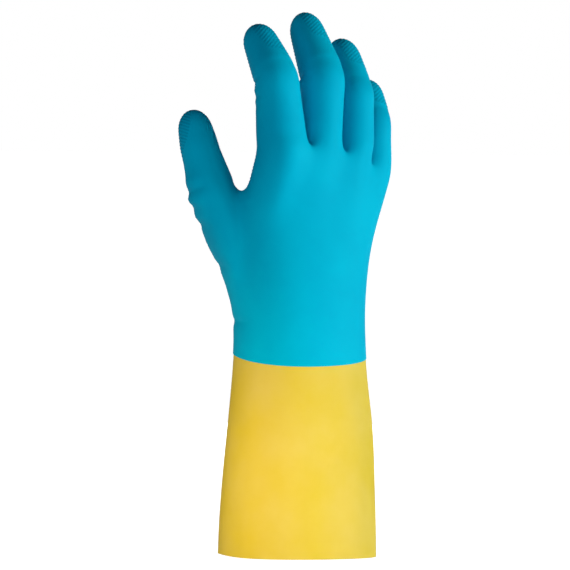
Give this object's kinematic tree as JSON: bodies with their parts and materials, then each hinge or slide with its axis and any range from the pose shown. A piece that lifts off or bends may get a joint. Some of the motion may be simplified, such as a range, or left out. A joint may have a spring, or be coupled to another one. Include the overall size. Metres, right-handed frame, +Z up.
{
  "type": "electrical insulating glove",
  "caption": "Right-hand dipped rubber glove standing on its cuff: a long flared latex cuff, a second coat over the hand, and five stalls that flex on sprung folds of skin.",
  "frame": {"origin": "centre of the cuff mouth, on the plane of the rim that the glove stands on", "axes": "+Z up the arm to the fingertips, +X towards the little finger, +Y towards the palm, so the back of the hand faces -Y"},
  "size_m": [0.1304, 0.0792, 0.3264],
  "materials": {
    "latex": "satin",
    "overdip": "satin"
  },
  "bodies": {
    "hand": {"latex_cuff": "latex", "latex_hand": "latex", "overdip_hand": "overdip", "thumb_knuckle_latex": "latex", "thumb_knuckle_overdip": "overdip", "index_knuckle_latex": "latex", "index_knuckle_overdip": "overdip", "middle_knuckle_latex": "latex", "middle_knuckle_overdip": "overdip", "ring_knuckle_latex": "latex", "ring_knuckle_overdip": "overdip", "little_knuckle_latex": "latex", "little_knuckle_overdip": "overdip"},
    "thumb_base": {"thumb_base_latex": "latex", "thumb_base_overdip": "overdip", "thumb_joint_latex": "latex", "thumb_joint_overdip": "overdip"},
    "thumb_tip": {"thumb_tip_latex": "latex", "thumb_tip_overdip": "overdip"},
    "index_base": {"index_base_latex": "latex", "index_base_overdip": "overdip", "index_joint_latex": "latex", "index_joint_overdip": "overdip"},
    "index_tip": {"index_tip_latex": "latex", "index_tip_overdip": "overdip"},
    "middle_base": {"middle_base_latex": "latex", "middle_base_overdip": "overdip", "middle_joint_latex": "latex", "middle_joint_overdip": "overdip"},
    "middle_tip": {"middle_tip_latex": "latex", "middle_tip_overdip": "overdip"},
    "ring_base": {"ring_base_latex": "latex", "ring_base_overdip": "overdip", "ring_joint_latex": "latex", "ring_joint_overdip": "overdip"},
    "ring_tip": {"ring_tip_latex": "latex", "ring_tip_overdip": "overdip"},
    "little_base": {"little_base_latex": "latex", "little_base_overdip": "overdip", "little_joint_latex": "latex", "little_joint_overdip": "overdip"},
    "little_tip": {"little_tip_latex": "latex", "little_tip_overdip": "overdip"}
  },
  "joints": [
    {"name": "thumb_knuckle", "type": "hinge", "parent": "hand", "child": "thumb_base", "pos_m": [-0.05266, 0.02145, 0.2277], "axis": [-0.4784, 0.8229, -0.3067], "range_deg": [-10, 22], "stiffness_Nm_per_rad": 0.06, "deforming": ["thumb_knuckle_latex", "thumb_knuckle_overdip"]},
    {"name": "thumb_joint", "type": "hinge", "parent": "thumb_base", "child": "thumb_tip", "pos_m": [-0.05562, 0.0254, 0.24292], "axis": [-0.4784, 0.8229, -0.3067], "range_deg": [-6, 25], "stiffness_Nm_per_rad": 0.05, "deforming": ["thumb_joint_latex", "thumb_joint_overdip"]},
    {"name": "index_knuckle", "type": "hinge", "parent": "hand", "child": "index_base", "pos_m": [-0.02183, -0.01122, 0.26045], "axis": [-0.999, 0, -0.0436], "range_deg": [-15, 45], "stiffness_Nm_per_rad": 0.06, "deforming": ["index_knuckle_latex", "index_knuckle_overdip"]},
    {"name": "index_joint", "type": "hinge", "parent": "index_base", "child": "index_tip", "pos_m": [-0.02292, -0.0071, 0.28549], "axis": [-0.999, 0, -0.0436], "range_deg": [-30, 40], "stiffness_Nm_per_rad": 0.05, "deforming": ["index_joint_latex", "index_joint_overdip"]},
    {"name": "middle_knuckle", "type": "hinge", "parent": "hand", "child": "middle_base", "pos_m": [0.00688, -0.01135, 0.25893], "axis": [-0.9969, 0, 0.0785], "range_deg": [-15, 45], "stiffness_Nm_per_rad": 0.06, "deforming": ["middle_knuckle_latex", "middle_knuckle_overdip"]},
    {"name": "middle_joint", "type": "hinge", "parent": "middle_base", "child": "middle_tip", "pos_m": [0.00908, -0.00668, 0.28685], "axis": [-0.9969, 0, 0.0785], "range_deg": [-30, 40], "stiffness_Nm_per_rad": 0.05, "deforming": ["middle_joint_latex", "middle_joint_overdip"]},
    {"name": "ring_knuckle", "type": "hinge", "parent": "hand", "child": "ring_base", "pos_m": [0.03193, -0.00921, 0.25394], "axis": [-0.9981, 0, 0.061], "range_deg": [-15, 45], "stiffness_Nm_per_rad": 0.06, "deforming": ["ring_knuckle_latex", "ring_knuckle_overdip"]},
    {"name": "ring_joint", "type": "hinge", "parent": "ring_base", "child": "ring_tip", "pos_m": [0.03339, -0.0052, 0.27798], "axis": [-0.9981, 0, 0.061], "range_deg": [-30, 40], "stiffness_Nm_per_rad": 0.05, "deforming": ["ring_joint_latex", "ring_joint_overdip"]},
    {"name": "little_knuckle", "type": "hinge", "parent": "hand", "child": "little_base", "pos_m": [0.051, 0.00055, 0.2437], "axis": [-0.9962, 0, 0.0872], "range_deg": [-15, 45], "stiffness_Nm_per_rad": 0.06, "deforming": ["little_knuckle_latex", "little_knuckle_overdip"]},
    {"name": "little_joint", "type": "hinge", "parent": "little_base", "child": "little_tip", "pos_m": [0.05252, 0.00315, 0.26114], "axis": [-0.9962, 0, 0.0872], "range_deg": [-26, 40], "stiffness_Nm_per_rad": 0.05, "deforming": ["little_joint_latex", "little_joint_overdip"]}
  ]
}
